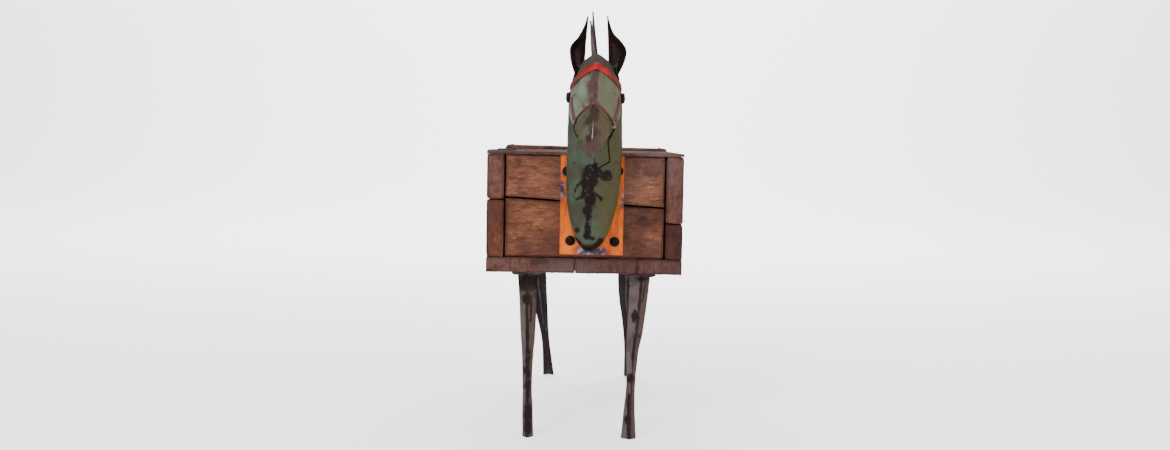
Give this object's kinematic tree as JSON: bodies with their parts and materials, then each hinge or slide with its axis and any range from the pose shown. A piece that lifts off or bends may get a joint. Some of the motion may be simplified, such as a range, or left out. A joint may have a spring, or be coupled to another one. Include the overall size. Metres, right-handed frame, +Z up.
{
  "type": "figural animal coin bank",
  "caption": "Folk-art horse coin bank: a plank chest with a slotted hinged lid on folded sheet-metal legs, with a bolted-on sheet-metal neck and head.",
  "frame": {"origin": "on the floor, under the middle of the whole figure", "axes": "+Z up, the horse faces -Y, +X on the right for someone who looks it in the face"},
  "size_m": [0.2872, 0.5985, 0.5988],
  "materials": {
    "old_wood": "weathered, split softwood boards with dark seams and old stain",
    "lid_wood": "weathered boards, a little greyer on top",
    "plate_paint": "scratched orange paint over pale primer and steel",
    "neck_paint": "worn grey-green paint with rust at the keel",
    "face_paint": "worn pale green paint with purple-brown wear on the ridge",
    "muzzle_paint": "olive paint, rubbed and rusty",
    "brow_paint": "bright red paint, worn",
    "nose_paint": "dull red paint",
    "strap_paint": "faded pink and purple paint",
    "eye_iron": "dark iron",
    "ear_metal": "dark brown rust and paint",
    "mane_metal": "thin rusted sheet",
    "rein_wire": "dark old wire",
    "front_leg_paint": "worn lilac-grey and tan paint with a rusty fold",
    "rear_leg_paint": "dark grey-brown paint",
    "bolt_black": "black mushroom heads",
    "fixing_steel": "dull old steel with light rust",
    "tail_paint": "dark grey-brown paint"
  },
  "bodies": {
    "chest": {"bolt_nuts": "fixing_steel", "bolt_washers": "fixing_steel", "bottom_board_left": "old_wood", "bottom_board_middle": "old_wood", "bottom_board_right": "old_wood", "brow_band": "brow_paint", "cheek_strap_left": "strap_paint", "cheek_strap_right": "strap_paint", "chest_nails": "fixing_steel", "corner_battens": "old_wood", "ear_left": "ear_metal", "ear_right": "ear_metal", "eye_left": "eye_iron", "eye_right": "eye_iron", "face_left": "face_paint", "face_right": "face_paint", "front_board_lower": "old_wood", "front_board_upper": "old_wood", "hinge_pins": "fixing_steel", "hinge_wall_leaves": "fixing_steel", "hinge_wall_screws": "fixing_steel", "leg_flanges": "rear_leg_paint", "leg_front_left": "front_leg_paint", "leg_front_right": "front_leg_paint", "leg_rear_left": "rear_leg_paint", "leg_rear_right": "rear_leg_paint", "leg_screws": "fixing_steel", "mane_left": "mane_metal", "mane_right": "mane_metal", "muzzle_left": "muzzle_paint", "muzzle_right": "muzzle_paint", "neck_left": "neck_paint", "neck_plate": "plate_paint", "neck_right": "neck_paint", "nose_band": "nose_paint", "plate_bolts": "bolt_black", "poll_cap": "face_paint", "rear_board_lower": "old_wood", "rear_board_upper": "old_wood", "rein_rivet": "rein_wire", "rein_wire": "rein_wire", "side_board_left_lower": "old_wood", "side_board_left_upper": "old_wood", "side_board_right_lower": "old_wood", "side_board_right_upper": "old_wood", "tail": "tail_paint", "tail_plate": "tail_paint", "tail_rail": "old_wood"},
    "lid": {"hinge_lid_leaves": "fixing_steel", "hinge_lid_screws": "fixing_steel", "lid_board_left": "lid_wood", "lid_board_right": "lid_wood", "lid_cleat_front": "old_wood", "lid_cleat_rear": "old_wood", "lid_nails": "fixing_steel"}
  },
  "joints": [
    {"name": "lid_hinge", "type": "hinge", "parent": "chest", "child": "lid", "pos_m": [-0.1432, 0.05, 0.4019], "axis": [0, -1, 0], "range_deg": [0, 240]}
  ]
}
